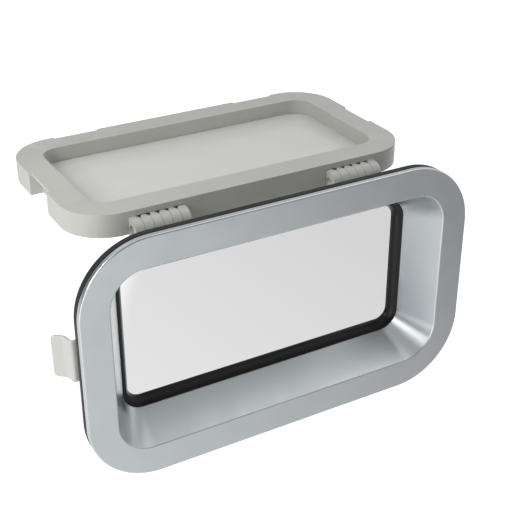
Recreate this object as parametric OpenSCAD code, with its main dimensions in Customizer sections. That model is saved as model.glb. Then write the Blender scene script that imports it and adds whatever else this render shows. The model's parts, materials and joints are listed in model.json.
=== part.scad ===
// Opening hatch for a cabin side: a metal trim frame with a tapered recess, a plastic rear frame,
// and a plastic lid that swings inwards and up on two knuckle hinges and shuts under four latches.
// Millimetres. +Z is up, +X is to the right, and the outside of the boat is towards -Y.
// The origin is the centre of the cut-out, on the outer face of the wall.
// Depths are counted from the front face of the flange, inwards along +Y.
// Every moving part is drawn open: the lid level, the latches swung outwards.

/* [Outer frame] */
// Width of the flange
flange_w = 400; // [396:1:410]
// Height of the flange
flange_h = 240; // [236:1:250]
// Corner radius of the flange
flange_r = 68; // [64:1:72]
// Thickness of the flange
flange_t = 5; // [4.5:0.5:6]
// Width of the recess at the front face
recess_w = 344; // [342:1:346]
// Height of the recess at the front face
recess_h = 182.4; // [181:0.2:184]
// Corner radius of the recess at the front face
recess_r = 34; // [30:1:38]
// Width of the recess at its rear edge
throat_w = 304.4; // [303:0.2:306]
// Height of the recess at its rear edge
throat_h = 144.8; // [144:0.2:146]
// Corner radius of the recess at its rear edge
throat_r = 20; // [18:1:22]
// Depth of the recess
recess_depth = 36.6; // [35.6:0.2:37]
// Width of the spigot that goes through the wall
spigot_w = 354; // [353:1:355]
// Height of the spigot
spigot_h = 192; // [191:1:193]
// Corner radius of the spigot
spigot_r = 45; // [43:1:47]

/* [Seals] */
// Thickness of the gasket between flange and wall
gasket_t = 7.5; // [7:0.5:8]
// Clear width inside the opening seal
clear_w = 288.6; // [286:0.2:290]
// Clear height inside the opening seal
clear_h = 128.8; // [127:0.2:130]
// Corner radius of the clear opening
clear_r = 12.5; // [11:0.5:14]

/* [Lid] */
// Width of the lid
lid_w = 348.8; // [346:0.2:350]
// Height of the lid
lid_h = 190.4; // [190:0.2:191]
// Corner radius of the lid
lid_r = 43; // [41:1:45]
// Thickness of the lid
lid_t = 21.8; // [21:0.2:23]
// Width of the tray in the cabin side of the lid
tray_w = 297.8; // [294:0.2:300]
// Height of the tray
tray_h = 139; // [137:1:141]
// Corner radius of the tray
tray_r = 18; // [16:1:20]
// Depth of the tray down to the panel
tray_depth = 15; // [14:0.5:15.5]

/* [Hinges] */
// Depth of the hinge axis behind the front face
hinge_depth = 52.8; // [52.6:0.1:53.4]
// Distance from the hinge axis to the edge of the lid
hinge_gap = 5; // [4.8:0.1:5.2]
// Distance from the hinge axis to the sealing face of the lid
hinge_drop = 5.7; // [5.5:0.1:5.8]
// Radius of the hinge barrel
barrel_r = 10.3; // [10:0.1:10.4]
// Length of one knuckle
knuckle_len = 8.85; // [8.6:0.05:9]
// Distance from the middle of the frame to the middle of each hinge
hinge_x = 100.6; // [98:0.2:103]
// Radius of the hinge pin
hinge_pin_r = 4.4; // [4.2:0.1:4.6]

/* [Latches] */
// Length of a latch along its pivot
latch_len = 42.4; // [40:0.2:43]
// Thickness of the latch strap
latch_t = 2.3; // [2:0.1:2.4]
// Radius of the latch barrel
latch_r = 4.7; // [4.6:0.1:4.8]
// Depth of the latch pivots behind the front face
pivot_depth = 42; // [41.8:0.1:42.2]
// Angle between a shut and an open latch
latch_swing = 101; // [95:1:103]
// Radius of the latch pin
latch_pin_r = 2; // [1.8:0.1:2.1]

/* [Hidden] */
$fn = 64;
cut = 1;                  // how far a cut runs past the face that it opens
end_slice = 0.02;         // thickness of the two end slices of a taper
run_gap = 0.05;           // radial clearance of a pin in its bore
lap = 0.5;                // how far joined shapes run into each other

// Outer frame
front_y = -(flange_t + gasket_t);
edge_round = 1.5;
wall_t = 3;
spigot_depth = 33;
tap_depth = 10;
fix_hole_r = 2.1;
fix_boss_r = 5.5;
fix_side_x = (flange_w + spigot_w) / 4;
fix_side_z = 45;
fix_top_z = (flange_h + spigot_h) / 4;
fix_outer_x = 132;
fix_inner_x = 45;
screw_boss_r = 5;
screw_points = [
    [162, 40], [162, -40], [-162, 40], [-162, -40],
    [128, 81.5], [128, -81.5], [-128, 81.5], [-128, -81.5],
    [50, 81.5], [50, -81.5], [-50, 81.5], [-50, -81.5]
];
screw_r = 2;
screw_head_r = 3.6;
screw_head_t = 2;
screw_engage = 6;
screw_gap = 0.2;
screw_hole_spare = 0.5;
socket_r = 1.4;
socket_depth = 1.3;
head_gap = 0.1;

// Rear frame and seals
joint_gasket_t = 0.8;
plate_front = spigot_depth + joint_gasket_t;
plate_rear = 46.4;
tongue_w = 2;
tongue_t = 2;
tongue_front = 40.4;
tongue_gap = 0.3;
wall_splay = (recess_w - throat_w) / 2 / recess_depth;
step_clear = 0.4;
step_gap = wall_splay * (recess_depth - plate_front) + step_clear;
throat_gap = 0.2;
tongue_root = 1;
web_drop = 4;
joint_gasket_step = 3;
seal_front = recess_depth + 0.2;
seal_lip = 0.5;
seal_flare_end = 44.2;
seal_rear = 46.7;
shadow_t = 1.3;
shadow_inset = 2.5;
gasket_gap = 0.3;

// Lid, in its open position
hinge_z = lid_h / 2 + hinge_gap;
lid_y = hinge_depth + hinge_gap + lid_h / 2;
lid_bottom = hinge_z - hinge_drop;
lid_top = lid_bottom + lid_t;
tray_floor = lid_top - tray_depth;
panel_margin = 9;
panel_t = 5.8;
panel_gasket_t = 1;
panel_gap = 0.5;
knuckle_root = 1;
notch_w = 46;
notch_depth = 12;
skin_t = 2.5;
skin_setback = 2.9;

// Hinges
knuckles = 6;
hinge_len = knuckles * knuckle_len;
knuckle_gap = 0.3;
pocket_gap = 0.35;
crown_reach = hinge_gap - pocket_gap;
pocket_r = norm([crown_reach, barrel_r]) + pocket_gap;
web_front = 37;
bush_r = 5.6;
bush_lip = 2;
pin_recess = 4.5;
seam_w = 5.2;
seam_reach = 5.4;
seam_depth = 4.5;
under_front = 1;
under_rear = 4;

// Latches, with the pivot at the origin of their own frame
latch_edge = [lid_w / 2, lid_h / 2];
pivot_out = [for (e = latch_edge) e - latch_r];
press_gap = 0.25;
latch_reach = hinge_depth + lid_top - hinge_z - pivot_depth + press_gap;
press_len = 12.2;
tab_len = 12.4;
tab_angle = 40;
tab_corner_r = 4.5;
slot_len = latch_len + 2;
slot_in = 5.4;
slot_out = latch_r + 5;
washer_t = 0.9;
washer_r = 4.1;
pin_grip = 8;
pin_way = 110;            // from the closed end of a pin's bore to past the edge of the plate
pin_end_gap = 0.2;

// Flat rounded rectangle, centred
module rounded_rect(w, h, r) {
    square([w - 2 * r, h], center = true);
    square([w, h - 2 * r], center = true);
    for (x = [-1, 1], y = [-1, 1])
        translate([x * (w / 2 - r), y * (h / 2 - r)]) circle(r);
}

// Upright rounded block between two depths
module slab(w, h, r, d0, d1) {
    translate([0, front_y + d1, 0])
        rotate([90, 0, 0])
            linear_extrude(d1 - d0) rounded_rect(w, h, r);
}

// Upright ring between two depths: outer and inner are [width, height, radius]
module ring(outer, inner, d0, d1) {
    difference() {
        slab(outer[0], outer[1], outer[2], d0, d1);
        slab(inner[0], inner[1], inner[2], d0 - cut, d1 + cut);
    }
}

// Cylinder along +Y between two depths
module bore_y(x, z, r, d0, d1) {
    translate([x, front_y + d1, z]) rotate([90, 0, 0]) cylinder(r = r, h = d1 - d0);
}

// Rod along +X, on the hinge axis
module hinge_rod(x0, x1, r) {
    translate([x0, front_y + hinge_depth, hinge_z]) rotate([0, 90, 0]) cylinder(r = r, h = x1 - x0);
}

// The four corners of every rectangle of fixing holes
module at_fixings() {
    for (sx = [-1, 1], sz = [-1, 1])
        for (p = [[fix_side_x, fix_side_z], [fix_outer_x, fix_top_z], [fix_inner_x, fix_top_z]])
            translate([sx * p[0], 0, sz * p[1]]) children();
}

// Upright block that tapers from one outline to another: a and b are [width, height, radius]
module taper(a, b, d0, d1) {
    hull() {
        slab(a[0], a[1], a[2], d0, d0 + end_slice);
        slab(b[0], b[1], b[2], d1 - end_slice, d1);
    }
}

// Outline of the throat, grown outwards by g
function grown_throat(g) = [throat_w + 2 * g, throat_h + 2 * g, throat_r + g];

// Tapered recess, widened outwards by the wall thickness grow
module recess(grow) {
    front = [recess_w + 2 * grow, recess_h + 2 * grow, recess_r + grow];
    throat = grown_throat(grow);
    slab(front[0], front[1], front[2], -cut, end_slice);
    taper(front, throat, 0, recess_depth);
    slab(throat[0], throat[1], throat[2], recess_depth - end_slice, recess_depth + cut);
}

module outer_frame() {
    color([0.74, 0.76, 0.77]) difference() {
        union() {
            taper([flange_w - 2 * edge_round, flange_h - 2 * edge_round, flange_r - edge_round],
                  [flange_w, flange_h, flange_r], 0, edge_round);
            slab(flange_w, flange_h, flange_r, edge_round - end_slice, flange_t);
            ring([spigot_w, spigot_h, spigot_r],
                 [spigot_w - 2 * wall_t, spigot_h - 2 * wall_t, spigot_r - wall_t],
                 flange_t - lap, spigot_depth);
            intersection() {
                recess(wall_t);
                slab(flange_w, flange_h, flange_r, flange_t - lap, recess_depth);
            }
            intersection() {
                for (p = screw_points) bore_y(p[0], p[1], screw_boss_r, flange_t - lap, spigot_depth);
                slab(spigot_w, spigot_h, spigot_r, 0, spigot_depth);
            }
            at_fixings() bore_y(0, 0, fix_boss_r, flange_t - lap, -front_y);
        }
        recess(0);
        for (p = screw_points)
            bore_y(p[0], p[1], screw_r, spigot_depth - screw_engage - screw_hole_spare, spigot_depth + cut);
        at_fixings() bore_y(0, 0, fix_hole_r, -front_y - tap_depth, -front_y + cut);
    }
}

module flange_gasket() {
    hole = [spigot_w + 2 * gasket_gap, spigot_h + 2 * gasket_gap, spigot_r + gasket_gap];
    color([0.16, 0.16, 0.16]) difference() {
        union() {
            ring([flange_w - 2 * shadow_inset, flange_h - 2 * shadow_inset, flange_r - shadow_inset],
                 hole, flange_t, flange_t + shadow_t);
            ring([flange_w, flange_h, flange_r], hole, flange_t + shadow_t, -front_y);
        }
        at_fixings() bore_y(0, 0, fix_boss_r + gasket_gap, flange_t - cut, -front_y + cut);
    }
}

// Everything on the line of one latch, placed from its own frame
module at_latch(name) {
    if (name == "left")
        translate([-pivot_out[0], front_y + pivot_depth, 0]) children();
    if (name == "right")
        mirror([1, 0, 0]) translate([-pivot_out[0], front_y + pivot_depth, 0]) children();
    if (name == "bottom_left")
        translate([-hinge_x, front_y + pivot_depth, -pivot_out[1]]) rotate([0, -90, 0]) children();
    if (name == "bottom_right")
        mirror([1, 0, 0]) translate([-hinge_x, front_y + pivot_depth, -pivot_out[1]])
            rotate([0, -90, 0]) children();
}

// Knuckle number i of the right-hand hinge, counted from the middle of the frame
module knuckle(i, r, gap) {
    x0 = hinge_x - hinge_len / 2 + i * knuckle_len;
    hinge_rod(x0 + gap, x0 + knuckle_len - gap, r);
}

// Children drawn for the right-hand hinge and mirrored for the left
module both_hinges() {
    children();
    mirror([1, 0, 0]) children();
}

// Small three-cornered relief on top of the barrel at every seam between knuckles
module seam_reliefs() {
    edge = hinge_depth + hinge_gap;
    for (i = [1 : knuckles - 1])
        translate([hinge_x - hinge_len / 2 + i * knuckle_len, front_y + edge,
                   hinge_z + barrel_r - seam_depth]) {
            linear_extrude(seam_depth + cut)
                polygon([[-seam_w / 2, 0], [0, -seam_reach], [seam_w / 2, 0]]);
            translate([-seam_w / 2, -under_front, 0])
                cube([seam_w, under_front + under_rear, seam_depth]);
        }
}

module rear_frame() {
    color([0.71, 0.71, 0.68]) difference() {
        union() {
            ring([spigot_w, spigot_h, spigot_r],
                 grown_throat(wall_t + step_gap), plate_front, seal_front);
            ring([spigot_w, spigot_h, spigot_r], grown_throat(throat_gap), seal_front, plate_rear);
            ring(grown_throat(tongue_root), grown_throat(-tongue_w),
                 tongue_front, tongue_front + tongue_t);
            both_hinges() for (i = [0 : 2 : knuckles - 1]) {
                knuckle(i, barrel_r, knuckle_gap / 2);
                translate([hinge_x - hinge_len / 2 + i * knuckle_len + knuckle_gap / 2,
                           front_y + web_front, spigot_h / 2 - web_drop])
                    cube([knuckle_len - knuckle_gap, plate_rear - web_front,
                          hinge_z - spigot_h / 2 + web_drop]);
                translate([hinge_x - hinge_len / 2 + i * knuckle_len + knuckle_gap / 2,
                           front_y + hinge_depth, hinge_z])
                    cube([knuckle_len - knuckle_gap, crown_reach, barrel_r]);
            }
        }
        both_hinges() {
            for (i = [1 : 2 : knuckles - 1]) knuckle(i, barrel_r + pocket_gap, -knuckle_gap / 2);
            seam_reliefs();
            for (i = [2 : 2 : knuckles - 1]) knuckle(i, bush_r + run_gap, -knuckle_gap);
            hinge_rod(hinge_x - hinge_len / 2 + bush_lip, hinge_x - hinge_len / 2 + knuckle_len,
                      bush_r + run_gap);
            hinge_rod(hinge_x - hinge_len / 2 - cut, hinge_x - hinge_len / 2 + bush_lip + cut,
                      hinge_pin_r + 2 * run_gap);
        }
        for (name = ["left", "right", "bottom_left", "bottom_right"]) at_latch(name) {
            translate([-slot_out, plate_front - pivot_depth - cut, -slot_len / 2])
                cube([slot_out + slot_in, plate_rear - plate_front + 2 * cut, slot_len]);
            translate([0, 0, -slot_len / 2 - pin_grip])
                cylinder(r = latch_pin_r + run_gap, h = pin_way);
        }
        for (p = screw_points) {
            bore_y(p[0], p[1], screw_r + screw_gap, plate_front - cut, plate_rear + cut);
            bore_y(p[0], p[1], screw_head_r + screw_gap, plate_rear - screw_head_t, plate_rear + cut);
        }
    }
}

module joint_gasket() {
    color([0.14, 0.14, 0.14]) difference() {
        ring([spigot_w, spigot_h, spigot_r],
             grown_throat(wall_t + joint_gasket_step), spigot_depth, plate_front);
        for (p = screw_points)
            bore_y(p[0], p[1], screw_r + screw_gap, spigot_depth - cut, plate_front + cut);
    }
}

module opening_seal() {
    color([0.08, 0.08, 0.08]) difference() {
        slab(throat_w, throat_h, throat_r, seal_front, seal_rear);
        taper(grown_throat(-seal_lip), [clear_w, clear_h, clear_r],
              seal_front - end_slice, seal_flare_end);
        slab(clear_w, clear_h, clear_r, seal_flare_end - end_slice, seal_rear + cut);
        ring(grown_throat(tongue_root), grown_throat(-tongue_w - tongue_gap),
             tongue_front - run_gap, tongue_front + tongue_t + run_gap);
    }
}

module frame_screws() {
    tip = spigot_depth - screw_engage;
    color([0.78, 0.78, 0.78]) for (p = screw_points) difference() {
        union() {
            bore_y(p[0], p[1], screw_r - run_gap, tip, plate_rear - 2 * head_gap);
            bore_y(p[0], p[1], screw_head_r, plate_rear - screw_head_t + head_gap, plate_rear - head_gap);
        }
        translate([p[0], front_y + plate_rear + cut, p[1]]) rotate([90, 30, 0])
            cylinder(r = socket_r, h = cut + socket_depth, $fn = 6);
    }
}

// Level block of the lid between two heights
module lid_slab(w, h, r, z0, z1) {
    translate([0, front_y + lid_y, z0]) linear_extrude(z1 - z0) rounded_rect(w, h, r);
}

// Space in the edge of the lid for one latch, seen with the lid edge along Y and outwards along -X
module latch_notch() {
    translate([-cut, -notch_w / 2, lid_bottom - cut])
        cube([notch_depth + cut, notch_w, lid_t - skin_t + cut]);
    translate([-cut, -notch_w / 2, lid_bottom]) cube([skin_setback + cut, notch_w, lid_t + cut]);
}

module lid_frame() {
    color([0.71, 0.71, 0.68]) difference() {
        union() {
            lid_slab(lid_w, lid_h, lid_r, lid_bottom, lid_top);
            both_hinges() for (i = [1 : 2 : knuckles - 1]) {
                knuckle(i, barrel_r, knuckle_gap / 2);
                translate([hinge_x - hinge_len / 2 + i * knuckle_len + knuckle_gap / 2,
                           front_y + hinge_depth, lid_bottom])
                    cube([knuckle_len - knuckle_gap, hinge_gap + knuckle_root, hinge_drop + barrel_r]);
            }
        }
        lid_slab(tray_w, tray_h, tray_r, lid_bottom - cut, lid_top + cut);
        lid_slab(tray_w + 2 * (panel_margin + panel_gap), tray_h + 2 * (panel_margin + panel_gap),
                 tray_r + panel_margin, lid_bottom - cut, tray_floor + panel_gasket_t);
        both_hinges() {
            for (i = [0 : 2 : knuckles - 1]) knuckle(i, pocket_r, -knuckle_gap / 2);
            for (i = [1 : 2 : knuckles - 1]) knuckle(i, hinge_pin_r + run_gap, -knuckle_gap);
            seam_reliefs();
        }
        translate([-lid_w / 2, front_y + lid_y, 0]) latch_notch();
        mirror([1, 0, 0]) translate([-lid_w / 2, front_y + lid_y, 0]) latch_notch();
        for (x = [-hinge_x, hinge_x])
            translate([x, front_y + lid_y + lid_h / 2, 0]) rotate([0, 0, -90]) latch_notch();
    }
}

module lid_panel() {
    color([0.77, 0.77, 0.75])
        lid_slab(tray_w + 2 * panel_margin, tray_h + 2 * panel_margin, tray_r + panel_margin - panel_gap,
                 tray_floor - panel_t, tray_floor);
}

module panel_gasket() {
    color([0.60, 0.60, 0.58]) difference() {
        lid_slab(tray_w + 2 * panel_margin, tray_h + 2 * panel_margin, tray_r + panel_margin - panel_gap,
                 tray_floor, tray_floor + panel_gasket_t);
        lid_slab(tray_w + 2 * panel_gap, tray_h + 2 * panel_gap, tray_r + panel_gap,
                 tray_floor - cut, tray_floor + panel_gasket_t + cut);
    }
}

module hinge_pin() {
    hinge_rod(hinge_x - hinge_len / 2 + pin_recess, hinge_x + hinge_len / 2 - pin_recess, hinge_pin_r);
}

module hinge_bushes() {
    difference() {
        union() {
            hinge_rod(hinge_x - hinge_len / 2 + bush_lip + run_gap,
                      hinge_x - hinge_len / 2 + knuckle_len - knuckle_gap / 2, bush_r);
            for (i = [2 : 2 : knuckles - 1]) knuckle(i, bush_r, knuckle_gap / 2);
        }
        hinge_rod(hinge_x - hinge_len, hinge_x + hinge_len, hinge_pin_r + run_gap);
    }
}

module hinge_pin_left() { color([0.80, 0.80, 0.80]) mirror([1, 0, 0]) hinge_pin(); }
module hinge_pin_right() { color([0.80, 0.80, 0.80]) hinge_pin(); }
module hinge_bushes_left() { color([0.90, 0.90, 0.86]) mirror([1, 0, 0]) hinge_bushes(); }
module hinge_bushes_right() { color([0.90, 0.90, 0.86]) hinge_bushes(); }

// Outline of a shut latch across its pivot: strap, press foot and finger tab, with the lid towards +X
module latch_outline() {
    tab = [cos(tab_angle), sin(tab_angle)];
    bend = latch_t * tan(tab_angle / 2);
    foot = press_len - latch_r;
    polygon([
        [-latch_r, 0],
        [-latch_r, latch_reach + latch_t],
        [foot, latch_reach + latch_t],
        [foot + tab_len * tab[0], latch_reach + latch_t + tab_len * tab[1]],
        [foot + bend + tab_len * tab[0], latch_reach + tab_len * tab[1]],
        [foot + bend, latch_reach],
        [latch_t - latch_r, latch_reach],
        [latch_t - latch_r, 0]
    ]);
}

// Latch in its own frame, swung open
module latch() {
    tab_end = press_len - latch_r + tab_len * cos(tab_angle) + latch_t * sin(tab_angle);
    blank_start = -2 * latch_r - tab_corner_r;
    rotate([0, 0, latch_swing]) difference() {
        union() {
            intersection() {
                translate([0, 0, -latch_len / 2]) linear_extrude(latch_len) latch_outline();
                translate([(tab_end + blank_start) / 2, 2 * latch_len, 0]) rotate([90, 0, 0])
                    linear_extrude(3 * latch_len)
                        rounded_rect(tab_end - blank_start, latch_len, tab_corner_r);
            }
            translate([0, 0, -latch_len / 2]) cylinder(r = latch_r, h = latch_len);
        }
        translate([0, 0, -latch_len]) cylinder(r = latch_pin_r + run_gap, h = 2 * latch_len);
    }
}

module latch_pin() {
    translate([0, 0, pin_end_gap - slot_len / 2 - pin_grip])
        cylinder(r = latch_pin_r, h = slot_len + 2 * pin_grip - 2 * pin_end_gap);
}

module latch_washers() {
    for (s = [0, 1]) mirror([0, 0, s])
        translate([0, 0, latch_len / 2 + run_gap]) difference() {
            cylinder(r = washer_r, h = washer_t);
            translate([0, 0, -cut]) cylinder(r = latch_pin_r + run_gap, h = washer_t + 2 * cut);
        }
}

module latch_left() { color([0.84, 0.84, 0.81]) at_latch("left") latch(); }
module latch_right() { color([0.84, 0.84, 0.81]) at_latch("right") latch(); }
module latch_bottom_left() { color([0.84, 0.84, 0.81]) at_latch("bottom_left") latch(); }
module latch_bottom_right() { color([0.84, 0.84, 0.81]) at_latch("bottom_right") latch(); }
module latch_pin_left() { color([0.80, 0.80, 0.80]) at_latch("left") latch_pin(); }
module latch_pin_right() { color([0.80, 0.80, 0.80]) at_latch("right") latch_pin(); }
module latch_pin_bottom_left() { color([0.80, 0.80, 0.80]) at_latch("bottom_left") latch_pin(); }
module latch_pin_bottom_right() { color([0.80, 0.80, 0.80]) at_latch("bottom_right") latch_pin(); }
module latch_washers_left() { color([0.92, 0.92, 0.88]) at_latch("left") latch_washers(); }
module latch_washers_right() { color([0.92, 0.92, 0.88]) at_latch("right") latch_washers(); }
module latch_washers_bottom_left() { color([0.92, 0.92, 0.88]) at_latch("bottom_left") latch_washers(); }
module latch_washers_bottom_right() { color([0.92, 0.92, 0.88]) at_latch("bottom_right") latch_washers(); }

outer_frame();
flange_gasket();
rear_frame();
joint_gasket();
opening_seal();
frame_screws();
lid_frame();
lid_panel();
panel_gasket();
hinge_pin_left();
hinge_pin_right();
hinge_bushes_left();
hinge_bushes_right();
latch_left();
latch_right();
latch_bottom_left();
latch_bottom_right();
latch_pin_left();
latch_pin_right();
latch_pin_bottom_left();
latch_pin_bottom_right();
latch_washers_left();
latch_washers_right();
latch_washers_bottom_left();
latch_washers_bottom_right();
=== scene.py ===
"""Looks of the opening hatch: finer pieces where they show, materials, floor, light and camera.

Sizes are in millimetres until a mesh is made, and depths run inwards from the front of the flange.
"""

import json
import math

import bmesh
import bpy
from mathutils import Matrix, Vector


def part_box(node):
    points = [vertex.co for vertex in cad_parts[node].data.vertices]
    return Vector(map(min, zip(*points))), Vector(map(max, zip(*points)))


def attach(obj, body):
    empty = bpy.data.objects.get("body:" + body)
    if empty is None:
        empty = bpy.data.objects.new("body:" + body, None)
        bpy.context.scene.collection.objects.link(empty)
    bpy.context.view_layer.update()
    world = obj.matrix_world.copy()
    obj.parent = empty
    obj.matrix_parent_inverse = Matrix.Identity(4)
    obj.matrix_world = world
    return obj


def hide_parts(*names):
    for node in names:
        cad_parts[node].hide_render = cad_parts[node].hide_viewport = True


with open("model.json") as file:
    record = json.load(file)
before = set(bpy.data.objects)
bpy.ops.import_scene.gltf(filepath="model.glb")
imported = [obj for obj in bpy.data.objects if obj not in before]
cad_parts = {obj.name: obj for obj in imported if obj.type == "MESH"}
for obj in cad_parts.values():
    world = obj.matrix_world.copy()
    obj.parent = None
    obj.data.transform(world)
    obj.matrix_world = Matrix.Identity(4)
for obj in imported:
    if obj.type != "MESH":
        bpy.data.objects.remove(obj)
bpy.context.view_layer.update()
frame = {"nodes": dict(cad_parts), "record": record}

MM = 0.001
CORNER_STEPS = 24          # faces along each corner of an outline
EDGE_STEPS = 5             # faces along each softened edge
TURNED_STEPS = 40          # faces round a turned shape
SHARP_ANGLE = math.radians(38)
MERGE_REACH = 1e-7         # metres between two vertices that are the same point

# Sizes read from the frame
frame_low, frame_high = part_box("outer_frame")
front_y = frame_low.y / MM
flange_half = (frame_high.x / MM, frame_high.z / MM)
wall_depth = -front_y

# Trim frame: outlines are (half width, half height, corner radius)
FLANGE = (*flange_half, 68)
FLANGE_T = 5
RECESS_MOUTH = (172, 91.2, 34)
THROAT = (152.2, 72.4, 20)
RECESS_DEPTH = 36.6
WALL_T = 3
SPIGOT = (177, 96, 45)
SPIGOT_DEPTH = 33
FLANGE_ROUNDING = 1.8
MOUTH_ROUNDING = 1.0
METAL_ROUNDING = 0.4       # rounding of the flange's rear edge and of the throat's two edges
SPIGOT_ROUNDING = 0.3

# Fixing bosses: places are (x, z), mirrored to all four quarters
BOSS_SPOTS = [(188.5, 45), (132, 108), (45, 108)]
BOSS_R = 5.5
BOSS_ROOT = 0.5            # how far a boss reaches into the flange
BOSS_BORE_R = 2.1
BORE_CHAMFER = 0.4
BORE_FLOOR = 0.1           # height of a bore's end above the flange's rear face

# Gasket
SHADOW_T = 1.5
SHADOW_INSET = 4
GASKET_INSET = 0.2
GASKET_GAP = 0.3
GASKET_FRONT_ROUNDING = 0.5
GASKET_REAR_ROUNDING = 0.8
GASKET_INNER_ROUNDING = 0.3
DRILL_PAST = 1             # how far the shapes that cut its holes run past its rear face

# Seal: its face runs from the lip over a bead to the clear opening
CLEAR_OPENING = (144.3, 64.4, 12.5)
SEAL_GAP = 0.1
SEAL_FRONT = 36.8
SEAL_LIP = 0.5
SEAL_BEAD = 38.9
SEAL_BEAD_IN = 4.6
SEAL_FLARE_END = 44.2
SEAL_REAR = 46.7
SEAL_LIP_ROUNDING = 0.2
SEAL_BEAD_ROUNDING = 2.4
SEAL_FLARE_ROUNDING = 2.0
SEAL_INNER_ROUNDING = 1.0
SEAL_REAR_ROUNDING = 0.6

# Latches, in their own frame, with the pivot at the origin and the strap along +Y
LATCH_PIVOT_X = 169.7
LATCH_PIVOT_Z = 90.5
LATCH_X = 100.6
PIVOT_DEPTH = 42
LATCH_HALF = 21.2
LATCH_T = 2.3
LATCH_R = 4.7
PIN_R = 2.05
LATCH_REACH = 27.15
FOOT = 7.5
TAB_LEN = 12.4
TAB_ANGLE = math.radians(40)
TAB_CORNER_R = 4.5
TAB_THINNING = 0.6         # how much each face of the tab closes in at its very tip
LATCH_SWING = math.radians(101)
STRAP_BEND = 2.7
TAB_BEND = 3.5
STRIP_ROUNDING = 0.7
BARREL_CHAMFER = 0.5

# Rounded edges of the two mouldings
WELD_REACH = 0.01
MOULDED_EDGE = 0.5
MOULDED_EDGE_SEGMENTS = 2
MOULDED_EDGE_ANGLE = math.radians(35)


# ---------------------------------------------------------------- mesh helpers
def rounded_rect(half_w, half_h, radius, steps=CORNER_STEPS):
    """Points of a rounded rectangle, anticlockwise, the same number in every corner."""
    points = []
    for quarter, (sx, sy) in enumerate([(1, 1), (-1, 1), (-1, -1), (1, -1)]):
        for step in range(steps + 1):
            angle = math.radians(90 * (quarter + step / steps))
            points.append((sx * (half_w - radius) + radius * math.cos(angle),
                           sy * (half_h - radius) + radius * math.sin(angle)))
    return points


def outline(size, depth, rounding=0, grow=0):
    """One corner of a section: an outline grown by some millimetres, its depth and its rounding."""
    return Vector([value + grow for value in size] + [depth]), rounding


def towards(here, there, distance):
    """The point a distance along the way to the next corner, measured by first and last value."""
    away = there - here
    return here + away * (distance / math.hypot(away[0], away[-1]))


def soften(corners):
    """Stations along a section or a path, with each corner rounded by its own amount."""
    stations = []
    for i, (here, rounding) in enumerate(corners):
        if rounding == 0:
            stations.append(here)
            continue
        start = towards(here, corners[i - 1][0], rounding)
        end = towards(here, corners[(i + 1) % len(corners)][0], rounding)
        for step in range(EDGE_STEPS + 1):
            t = step / EDGE_STEPS
            stations.append(start.lerp(here, t).lerp(here.lerp(end, t), t))
    return stations


def join_rings(bm, rings):
    """Faces between each ring of vertices and the next."""
    for near, far in zip(rings, rings[1:]):
        for i in range(len(near)):
            j = (i + 1) % len(near)
            bm.faces.new((near[i], near[j], far[j], far[i]))


def loft(bm, stations):
    """Closed upright ring through the stations of a section."""
    rings = []
    for half_w, half_h, radius, depth in stations:
        rings.append([bm.verts.new(Vector((u, front_y + depth, v)) * MM)
                      for u, v in rounded_rect(half_w, half_h, radius)])
    join_rings(bm, rings + rings[:1])


def turn(bm, section, place):
    """Closed shape turned about the Z axis from [radius, height] points, then put in place."""
    rings = []
    for radius, height in section:
        angles = [2 * math.pi * step / TURNED_STEPS for step in range(TURNED_STEPS)]
        rings.append([bm.verts.new(place @ Vector((radius * math.cos(a), radius * math.sin(a), height)) * MM)
                      for a in angles])
    join_rings(bm, rings + rings[:1])


def boss_places():
    """Matrices that put a shape at every fixing boss, with its Z axis running inwards."""
    inwards = Matrix.Rotation(math.radians(-90), 4, "X")
    return [Matrix.Translation((sx * x, front_y, sz * z)) @ inwards
            for sx in (-1, 1) for sz in (-1, 1) for x, z in BOSS_SPOTS]


def piece_from(bm, name, body, material, slot, *replaced):
    """Turns a finished bmesh into a piece that rides on a body and stands for some CAD nodes."""
    bmesh.ops.recalc_face_normals(bm, faces=bm.faces)
    mesh = bpy.data.meshes.new(name)
    bm.to_mesh(mesh)
    bm.free()
    mesh.shade_smooth()
    mesh.set_sharp_from_angle(angle=SHARP_ANGLE)
    piece = bpy.data.objects.new(name, mesh)
    bpy.context.scene.collection.objects.link(piece)
    piece.modifiers.new("normals", "WEIGHTED_NORMAL").keep_sharp = True
    mesh.materials.append(material)
    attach(piece, body)
    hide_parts(*replaced)
    return piece


# ---------------------------------------------------------------- materials
NOISE_SPAN = (0.3, 0.7)    # what most values of a noise lie between
EDGE_SPAN = (0.52, 0.62)   # pointiness at which wear starts to show, and at which it is full
CLOUD_SIZE = 45            # millimetres across a patch of slightly different colour
SMEAR_SIZE = 18            # the same for a patch of slightly different gloss
WAVE_STRENGTH = 0.5
GRAIN_STRENGTH = 0.4


def new_material(name, roughness, metallic=0.0):
    material = bpy.data.materials.new(name)
    material.use_nodes = True
    shader = material.node_tree.nodes["Principled BSDF"]
    shader.inputs["Roughness"].default_value = roughness
    shader.inputs["Metallic"].default_value = metallic
    return material, shader


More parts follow.
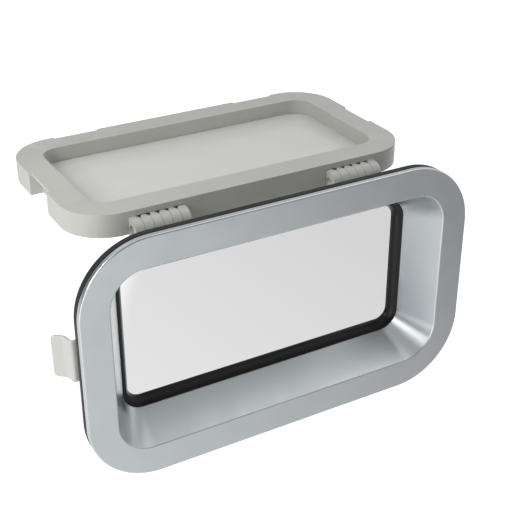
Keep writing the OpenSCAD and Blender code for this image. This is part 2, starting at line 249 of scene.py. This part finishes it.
class Nodes:
    """Short ways to add the few node kinds that the materials and the sky are built from."""

    def __init__(self, owner):
        self.nodes = owner.node_tree.nodes
        self.links = owner.node_tree.links
        self.coordinates = self.nodes.new("ShaderNodeTexCoord")
        self.place = self.coordinates.outputs["Object"]

    def link(self, output, socket):
        self.links.new(output, socket)

    def stretched(self, stretch):
        """Object coordinates scaled differently along each axis."""
        mapping = self.nodes.new("ShaderNodeMapping")
        mapping.inputs["Scale"].default_value = stretch
        self.link(self.place, mapping.inputs["Vector"])
        return mapping.outputs["Vector"]

    def noise(self, size, detail=3.0, stretch=(1, 1, 1)):
        """Noise whose blobs are about as many millimetres across as size says."""
        noise = self.nodes.new("ShaderNodeTexNoise")
        noise.inputs["Scale"].default_value = 1 / (size * MM)
        noise.inputs["Detail"].default_value = detail
        self.link(self.stretched(stretch), noise.inputs["Vector"])
        return noise.outputs["Fac"]

    def remap(self, value, start, end, low, high):
        ramp = self.nodes.new("ShaderNodeMapRange")
        for name, number in [("From Min", start), ("From Max", end), ("To Min", low), ("To Max", high)]:
            ramp.inputs[name].default_value = number
        self.link(value, ramp.inputs["Value"])
        return ramp.outputs["Result"]

    def smooth(self, value, start, end):
        """Zero at start and one at end, with a soft turn at both."""
        result = self.remap(value, start, end, 0, 1)
        result.node.interpolation_type = "SMOOTHSTEP"
        return result

    def math(self, operation, *values):
        """The result of an operation on values, each a number or another node's output."""
        node = self.nodes.new("ShaderNodeMath")
        node.operation = operation
        for value, socket in zip(values, node.inputs):
            if isinstance(value, (int, float)):
                socket.default_value = value
            else:
                self.link(value, socket)
        return node.outputs[0]

    def to_camera(self, seen, given):
        """The brightness that the camera sees, and in its place the one that lights the object."""
        direct = self.nodes.new("ShaderNodeLightPath").outputs["Is Camera Ray"]
        return self.math("MULTIPLY_ADD", self.math("SUBTRACT", seen, given), direct, given)

    def worn_edges(self, amount):
        """Up to amount on sharp outer edges and nothing elsewhere."""
        pointiness = self.nodes.new("ShaderNodeNewGeometry").outputs["Pointiness"]
        return self.remap(pointiness, *EDGE_SPAN, 0, amount)

    def tint(self, colour, brightness):
        """The colour made lighter or darker by a value around 1."""
        tint = self.nodes.new("ShaderNodeHueSaturation")
        tint.inputs["Color"].default_value = (*colour, 1)
        self.link(brightness, tint.inputs["Value"])
        return tint.outputs["Color"]

    def bump(self, height, strength, depth, below=None):
        """A bump of some millimetres, on top of another bump if one is given."""
        bump = self.nodes.new("ShaderNodeBump")
        bump.inputs["Strength"].default_value = strength
        bump.inputs["Distance"].default_value = depth * MM
        self.link(height, bump.inputs["Height"])
        if below:
            self.link(below, bump.inputs["Normal"])
        return bump.outputs["Normal"]


def surface(name, colour, roughness, metallic=0.0, mottle=0.03, uneven=0.05, wear=0.08,
            grain=0.6, grain_depth=0.03, wave=60, wave_depth=0.05, stretch=(1, 1, 1), fixed=None):
    """A moulded, cast or drawn surface.

    It has cloudy colour, uneven gloss, paler rubbed edges, a fine grain and a faint waviness.
    Other inputs of the shader can be given as fixed, by name.
    """
    material, shader = new_material(name, roughness, metallic)
    for socket, value in (fixed or {}).items():
        shader.inputs[socket].default_value = value
    make = Nodes(material)
    clouds = make.remap(make.noise(CLOUD_SIZE), *NOISE_SPAN, 1 - mottle, 1 + mottle)
    brightness = make.math("ADD", clouds, make.worn_edges(wear))
    make.link(make.tint(colour, brightness), shader.inputs["Base Color"])
    smears = make.noise(SMEAR_SIZE, detail=5, stretch=stretch)
    make.link(make.remap(smears, *NOISE_SPAN, roughness - uneven, roughness + uneven),
              shader.inputs["Roughness"])
    waves = make.bump(make.noise(wave, detail=1), WAVE_STRENGTH, wave_depth)
    fine = make.bump(make.noise(grain, detail=2, stretch=stretch), GRAIN_STRENGTH, grain_depth, waves)
    make.link(fine, shader.inputs["Normal"])
    return material


def satin_metal():
    return surface("satin_metal", (0.524, 0.554, 0.572), 0.34, 1.0, mottle=0.02, uneven=0.04, wear=0.2,
                   grain=0.35, grain_depth=0.012, wave=90, wave_depth=0.04)


def gasket_rubber():
    return surface("gasket_rubber", (0.018, 0.018, 0.018), 0.6, uneven=0.1, wear=0.02, grain=0.8,
                   fixed={"Specular IOR Level": 0.3})


def seal_rubber():
    return surface("seal_rubber", (0.007, 0.007, 0.007), 0.3, uneven=0.06, wear=0.01, grain=1.2,
                   fixed={"Specular IOR Level": 0.25})


def pale_rubber():
    return surface("pale_rubber", (0.50, 0.50, 0.47), 0.7, uneven=0.1)


def grey_plastic():
    return surface("grey_plastic", (0.468, 0.468, 0.440), 0.45)


def panel_plastic():
    """Glossier than the moulding around it, and slightly wavy."""
    return surface("panel_plastic", (0.605, 0.605, 0.580), 0.22, mottle=0.015, uneven=0.03, grain=2.5,
                   grain_depth=0.004, wave=70, wave_depth=0.12,
                   fixed={"Coat Weight": 0.3, "Coat Roughness": 0.08})


def latch_plastic():
    return surface("latch_plastic", (0.538, 0.538, 0.506), 0.38)


def stainless():
    """Drawn steel, with fine marks along X."""
    return surface("stainless", (0.6, 0.6, 0.6), 0.25, 1.0, grain=0.25, grain_depth=0.01,
                   stretch=(0.2, 1, 1))


def nylon():
    return surface("nylon", (0.8, 0.8, 0.74), 0.4, mottle=0.05, fixed={"Subsurface Weight": 0.1})


def make_materials():
    """Each material by the slots that it fills; the two mouldings share one."""
    plastic = grey_plastic()
    return {
        "trim_metal": satin_metal(), "gasket_rubber": gasket_rubber(), "seal_rubber": seal_rubber(),
        "pale_rubber": pale_rubber(), "frame_plastic": plastic, "lid_plastic": plastic,
        "panel_plastic": panel_plastic(), "latch_plastic": latch_plastic(), "stainless": stainless(),
        "nylon": nylon(),
    }


# ---------------------------------------------------------------- pieces
def make_outer_frame(material):
    """Flange, tapered recess, spigot and twelve tapped bosses behind the flange."""
    bm = bmesh.new()
    slope = [(a - b) / RECESS_DEPTH for a, b in zip(RECESS_MOUTH, THROAT)]
    behind_flange = [a + WALL_T - FLANGE_T * s for a, s in zip(RECESS_MOUTH, slope)]
    loft(bm, soften([
        outline(FLANGE, 0, FLANGE_ROUNDING),
        outline(RECESS_MOUTH, 0, MOUTH_ROUNDING),
        outline(THROAT, RECESS_DEPTH, METAL_ROUNDING),
        outline(THROAT, RECESS_DEPTH, METAL_ROUNDING, WALL_T),
        outline(behind_flange, FLANGE_T),
        outline(SPIGOT, FLANGE_T, 0, -WALL_T),
        outline(SPIGOT, SPIGOT_DEPTH, SPIGOT_ROUNDING, -WALL_T),
        outline(SPIGOT, SPIGOT_DEPTH, SPIGOT_ROUNDING),
        outline(SPIGOT, FLANGE_T),
        outline(FLANGE, FLANGE_T, METAL_ROUNDING),
    ]))
    root = FLANGE_T - BOSS_ROOT
    bore_end = FLANGE_T + BORE_FLOOR
    for place in boss_places():
        turn(bm, [(BOSS_R, root), (BOSS_R, wall_depth), (BOSS_BORE_R + BORE_CHAMFER, wall_depth),
                  (BOSS_BORE_R, wall_depth - BORE_CHAMFER), (BOSS_BORE_R, bore_end), (0, bore_end),
                  (0, root)], place)
    bmesh.ops.remove_doubles(bm, verts=bm.verts, dist=MERGE_REACH)
    return piece_from(bm, "trim_frame", "frame", material, "trim_metal", "outer_frame")


def make_gasket(material):
    """Black gasket with a shadow groove behind the flange, and holes for the bosses."""
    bm = bmesh.new()
    loft(bm, soften([
        outline(FLANGE, FLANGE_T, 0, -SHADOW_INSET),
        outline(FLANGE, FLANGE_T + SHADOW_T, 0, -SHADOW_INSET),
        outline(FLANGE, FLANGE_T + SHADOW_T, GASKET_FRONT_ROUNDING, -GASKET_INSET),
        outline(FLANGE, wall_depth, GASKET_REAR_ROUNDING, -GASKET_INSET),
        outline(SPIGOT, wall_depth, GASKET_INNER_ROUNDING, GASKET_GAP),
        outline(SPIGOT, FLANGE_T, 0, GASKET_GAP),
    ]))
    piece = piece_from(bm, "wall_gasket", "frame", material, "gasket_rubber", "flange_gasket")
    drills = bmesh.new()
    radius = BOSS_R + GASKET_GAP
    drill_end = wall_depth + DRILL_PAST
    for place in boss_places():
        turn(drills, [(0, 0), (radius, 0), (radius, drill_end), (0, drill_end)], place)
    cut_away(piece, drills)
    return piece


def cut_away(piece, bm):
    """Cuts the shape in a bmesh out of a piece for good."""
    bmesh.ops.remove_doubles(bm, verts=bm.verts, dist=MERGE_REACH)
    bmesh.ops.recalc_face_normals(bm, faces=bm.faces)
    mesh = bpy.data.meshes.new("cutter")
    bm.to_mesh(mesh)
    bm.free()
    cutter = bpy.data.objects.new("cutter", mesh)
    bpy.context.scene.collection.objects.link(cutter)
    boolean = piece.modifiers.new("cut", "BOOLEAN")
    boolean.operation = "DIFFERENCE"
    boolean.object = cutter
    shape = piece.evaluated_get(bpy.context.evaluated_depsgraph_get())
    cut_mesh = bpy.data.meshes.new_from_object(shape)
    piece.modifiers.clear()
    piece.data = cut_mesh
    cut_mesh.shade_smooth()
    cut_mesh.set_sharp_from_angle(angle=SHARP_ANGLE)
    piece.modifiers.new("normals", "WEIGHTED_NORMAL").keep_sharp = True
    bpy.data.objects.remove(cutter)


def make_opening_seal(material):
    """Soft rounded lip round the clear opening, which closes in from the throat."""
    bm = bmesh.new()
    loft(bm, soften([
        outline(THROAT, SEAL_FRONT, SEAL_LIP_ROUNDING, -SEAL_GAP),
        outline(THROAT, SEAL_FRONT, SEAL_LIP_ROUNDING, -SEAL_LIP),
        outline(THROAT, SEAL_BEAD, SEAL_BEAD_ROUNDING, -SEAL_BEAD_IN),
        outline(CLEAR_OPENING, SEAL_FLARE_END, SEAL_FLARE_ROUNDING),
        outline(CLEAR_OPENING, SEAL_REAR, SEAL_INNER_ROUNDING),
        outline(THROAT, SEAL_REAR, SEAL_REAR_ROUNDING, -SEAL_GAP),
    ]))
    return piece_from(bm, "lip_seal", "frame", material, "seal_rubber", "opening_seal")


def latch_stations():
    """Points along the middle of the strip, each with its half width and half thickness."""
    strap_x = LATCH_T / 2 - LATCH_R
    foot_y = LATCH_REACH + LATCH_T / 2
    along_tab = Vector((math.cos(TAB_ANGLE), math.sin(TAB_ANGLE)))
    bend = Vector((FOOT, foot_y))
    tip = bend + along_tab * TAB_LEN
    path = soften([(Vector((strap_x, 0)), 0), (Vector((strap_x, foot_y)), STRAP_BEND),
                   (bend, TAB_BEND), (tip, 0)])
    stations = [(point, LATCH_HALF, LATCH_T / 2) for point in path[:-1]]
    for step in range(CORNER_STEPS + 1):
        angle = math.radians(90 * step / CORNER_STEPS)
        before_tip = TAB_CORNER_R * (1 - math.sin(angle))
        half_t = LATCH_T / 2 - max(0, TAB_THINNING - before_tip)
        half_w = LATCH_HALF - TAB_CORNER_R * (1 - math.cos(angle))
        stations.append((tip - along_tab * before_tip, half_w, half_t))
    return stations


def make_latch(name, place, material):
    """A bent strip with a rounded finger tab, on a bored barrel."""
    bm = bmesh.new()
    swung = place @ Matrix.Rotation(LATCH_SWING, 4, "Z")
    stations = latch_stations()
    rings = []
    for i, (point, half_w, half_t) in enumerate(stations):
        before, after = stations[max(i - 1, 0)][0], stations[min(i + 1, len(stations) - 1)][0]
        along = (after - before).normalized()
        across = Vector((-along.y, along.x))
        ring = []
        for u, v in rounded_rect(half_w, half_t, min(STRIP_ROUNDING, half_t), EDGE_STEPS):
            spot = point + across * v
            ring.append(bm.verts.new(swung @ Vector((spot.x, spot.y, u)) * MM))
        rings.append(ring)
    join_rings(bm, rings)
    bm.faces.new(rings[0])
    bm.faces.new(rings[-1])
    end = LATCH_HALF
    side_end = end - BARREL_CHAMFER
    face_r = LATCH_R - BARREL_CHAMFER
    turn(bm, [(LATCH_R, -side_end), (LATCH_R, side_end), (face_r, end), (PIN_R, end),
              (PIN_R, -end), (face_r, -end)], swung)
    body = name.replace("latch_", "") + "_latch"
    return piece_from(bm, name + "_strip", body, material, "latch_plastic", name)


def make_latches(material):
    side = Matrix.Translation((-LATCH_PIVOT_X, front_y + PIVOT_DEPTH, 0))
    bottom = (Matrix.Translation((-LATCH_X, front_y + PIVOT_DEPTH, -LATCH_PIVOT_Z))
              @ Matrix.Rotation(math.radians(-90), 4, "Y"))
    mirror = Matrix.Scale(-1, 4, (1, 0, 0))
    make_latch("latch_left", side, material)
    make_latch("latch_right", mirror @ side, material)
    make_latch("latch_bottom_left", bottom, material)
    make_latch("latch_bottom_right", mirror @ bottom, material)


def finish_cad_nodes(materials):
    """Gives every CAD node its material, and rounds the edges of the two mouldings."""
    for part in frame["record"]["subparts"]:
        node = frame["nodes"][part["node"]]
        node.data.materials.clear()
        node.data.materials.append(materials[part["material_slot"]])
        if part["material_slot"] in ("frame_plastic", "lid_plastic"):
            weld = node.modifiers.new("weld", "WELD")
            weld.merge_threshold = WELD_REACH * MM
            bevel = node.modifiers.new("edges", "BEVEL")
            bevel.width = MOULDED_EDGE * MM
            bevel.segments = MOULDED_EDGE_SEGMENTS
            bevel.limit_method = "ANGLE"
            bevel.angle_limit = MOULDED_EDGE_ANGLE
            node.modifiers.new("normals", "WEIGHTED_NORMAL").keep_sharp = True


materials = make_materials()
finish_cad_nodes(materials)
make_outer_frame(materials["trim_metal"])
make_gasket(materials["gasket_rubber"])
make_opening_seal(materials["seal_rubber"])
make_latches(materials["latch_plastic"])


# ---------------------------------------------------------------- floor, light and camera
FLOOR_Z = -0.9
FLOOR_SIZE = 12
FLOOR_BASE = 0.3           # what the floor reflects of the lamps' light
FLOOR_SEEN = 0.95          # glow of the floor as the camera sees it
FLOOR_REAR = 0.9           # glow of the floor behind the object, as light for the object
FLOOR_FRONT = 0.181        # glow of the floor in front, which the metal reflects
FLOOR_FRONT_LEFT = 0.565   # what is added to that towards the left
SHADE = (0.41, 0.51)       # how much darker the painted pool of shade beyond the object is, from left to right
SHADE_SPAN = (0.35, 1.2)   # where along X the two of them are reached
SHADE_CENTRE = (0.82, 1.40)
SHADE_HALF = (0.40, 0.29)
SHADE_SLANT = 0.6
SHADE_EDGE = (1.02, 1.35)  # where its soft edge begins and ends, as shares of its half size
FRONT_FADE = (1.6, -0.2)   # where along X the glow added on the left starts and is full
REAR_FADE = (-0.1, 0.5)    # where along Y the front's glow gives way to the rear's
FLOOR_ROUGHNESS = 0.9
SKY_FALLOFF = 2            # power of the cosine by which a sky light fades
SKY = [                    # direction and strength of soft light that fades with the angle from it
    ((0, 0, 1), 0.70),
    ((1, 0, 0.2), 1.0),
    ((0, 1, 0.4), 0.3),
]
LAMPS = [                  # name, place, size in metres, power
    ("near_left", (-0.9, -0.1, 0.6), 0.5, 5.54),
    ("front_left", (-1.2, -1.4, 0.1), 1.2, 9.07),
    ("low_left", (-1.5, -0.9, -0.5), 1.0, 3.51),
    ("low_front", (0.4, -1.8, -0.5), 1.2, 1.87),
    ("top_right", (1.1, -0.1, 1.8), 1.2, 2.4),
    ("rear_top", (-0.4, 1.4, 1.4), 1.0, 1.53),
]
CAMERA_PLACE = (-0.44301, -0.73173, 0.52046)
CAMERA_DOWN = math.radians(28.5)
CAMERA_TURN = math.radians(-29.83)
CAMERA_LENS = 74.90
CAMERA_SENSOR = 36


def painted_shade_pool(make, x, y):
    """One in a slanted pool of painted shade beyond the object, and zero well outside it."""
    lean = make.math("MULTIPLY_ADD", y, -SHADE_SLANT, x)
    inside = None
    for value, centre, half in [(lean, SHADE_CENTRE[0] - SHADE_SLANT * SHADE_CENTRE[1], SHADE_HALF[0]),
                                (y, SHADE_CENTRE[1], SHADE_HALF[1])]:
        away = make.math("ABSOLUTE", make.math("SUBTRACT", value, centre))
        near = make.smooth(away, SHADE_EDGE[1] * half, SHADE_EDGE[0] * half)
        inside = make.math("MULTIPLY", inside, near) if inside else near
    return inside


def make_floor():
    """A pale floor, plain to the camera but for a painted pool of shade beyond the object, with a gradient
    in the light that it gives the object.
    """
    bpy.ops.mesh.primitive_plane_add(size=FLOOR_SIZE, location=(0, 0, FLOOR_Z))
    floor = bpy.context.object
    floor.name = "floor"
    material, shader = new_material("floor", FLOOR_ROUGHNESS)
    shader.inputs["Base Color"].default_value = (FLOOR_BASE, FLOOR_BASE, FLOOR_BASE, 1)
    shader.inputs["Emission Color"].default_value = (1, 1, 1, 1)
    make = Nodes(material)
    split = make.nodes.new("ShaderNodeSeparateXYZ")
    make.link(make.place, split.inputs[0])
    x, y = split.outputs["X"], split.outputs["Y"]
    front = make.math("MULTIPLY_ADD", make.smooth(x, *FRONT_FADE), FLOOR_FRONT_LEFT, FLOOR_FRONT)
    behind = make.math("MULTIPLY", make.smooth(y, *REAR_FADE), FLOOR_REAR)
    given = make.math("MULTIPLY_ADD", front, make.smooth(y, *reversed(REAR_FADE)), behind)
    # painted shade: the floor's glow, as the camera sees it, is lowered inside the pool beyond the object
    shade = make.math("MULTIPLY", painted_shade_pool(make, x, y), make.remap(x, *SHADE_SPAN, *SHADE))
    seen = make.math("SUBTRACT", FLOOR_SEEN, shade)
    make.link(make.to_camera(seen, given), shader.inputs["Emission Strength"])
    floor.data.materials.append(material)


def make_sky():
    """A sky that is plain white to the camera and lights the object from each side in SKY."""
    world = bpy.data.worlds.new("studio")
    bpy.context.scene.world = world
    world.use_nodes = True
    make = Nodes(world)
    total = 0
    for direction, strength in SKY:
        facing = make.nodes.new("ShaderNodeVectorMath")
        facing.operation = "DOT_PRODUCT"
        facing.inputs[1].default_value = Vector(direction).normalized()
        make.link(make.coordinates.outputs["Generated"], facing.inputs[0])
        lit = make.math("POWER", make.math("MAXIMUM", facing.outputs["Value"], 0), SKY_FALLOFF)
        total = make.math("MULTIPLY_ADD", lit, strength, total)
    background = make.nodes["Background"]
    background.inputs["Color"].default_value = (1, 1, 1, 1)
    make.link(make.to_camera(1, total), background.inputs["Strength"])


def make_lamps():
    for name, spot, size, power in LAMPS:
        lamp = bpy.data.lights.new(name, "AREA")
        lamp.energy = power
        lamp.size = size
        holder = bpy.data.objects.new(name, lamp)
        holder.location = spot
        holder.rotation_euler = (-Vector(spot)).to_track_quat("-Z", "Y").to_euler()
        bpy.context.scene.collection.objects.link(holder)


def make_camera():
    camera = bpy.data.cameras.new("camera")
    camera.sensor_width = CAMERA_SENSOR
    camera.lens = CAMERA_LENS
    holder = bpy.data.objects.new("camera", camera)
    holder.location = CAMERA_PLACE
    holder.rotation_euler = (math.radians(90) - CAMERA_DOWN, 0, CAMERA_TURN)
    bpy.context.scene.collection.objects.link(holder)
    bpy.context.scene.camera = holder


make_floor()
make_sky()
make_lamps()
make_camera()
bpy.context.scene.view_settings.view_transform = "Standard"
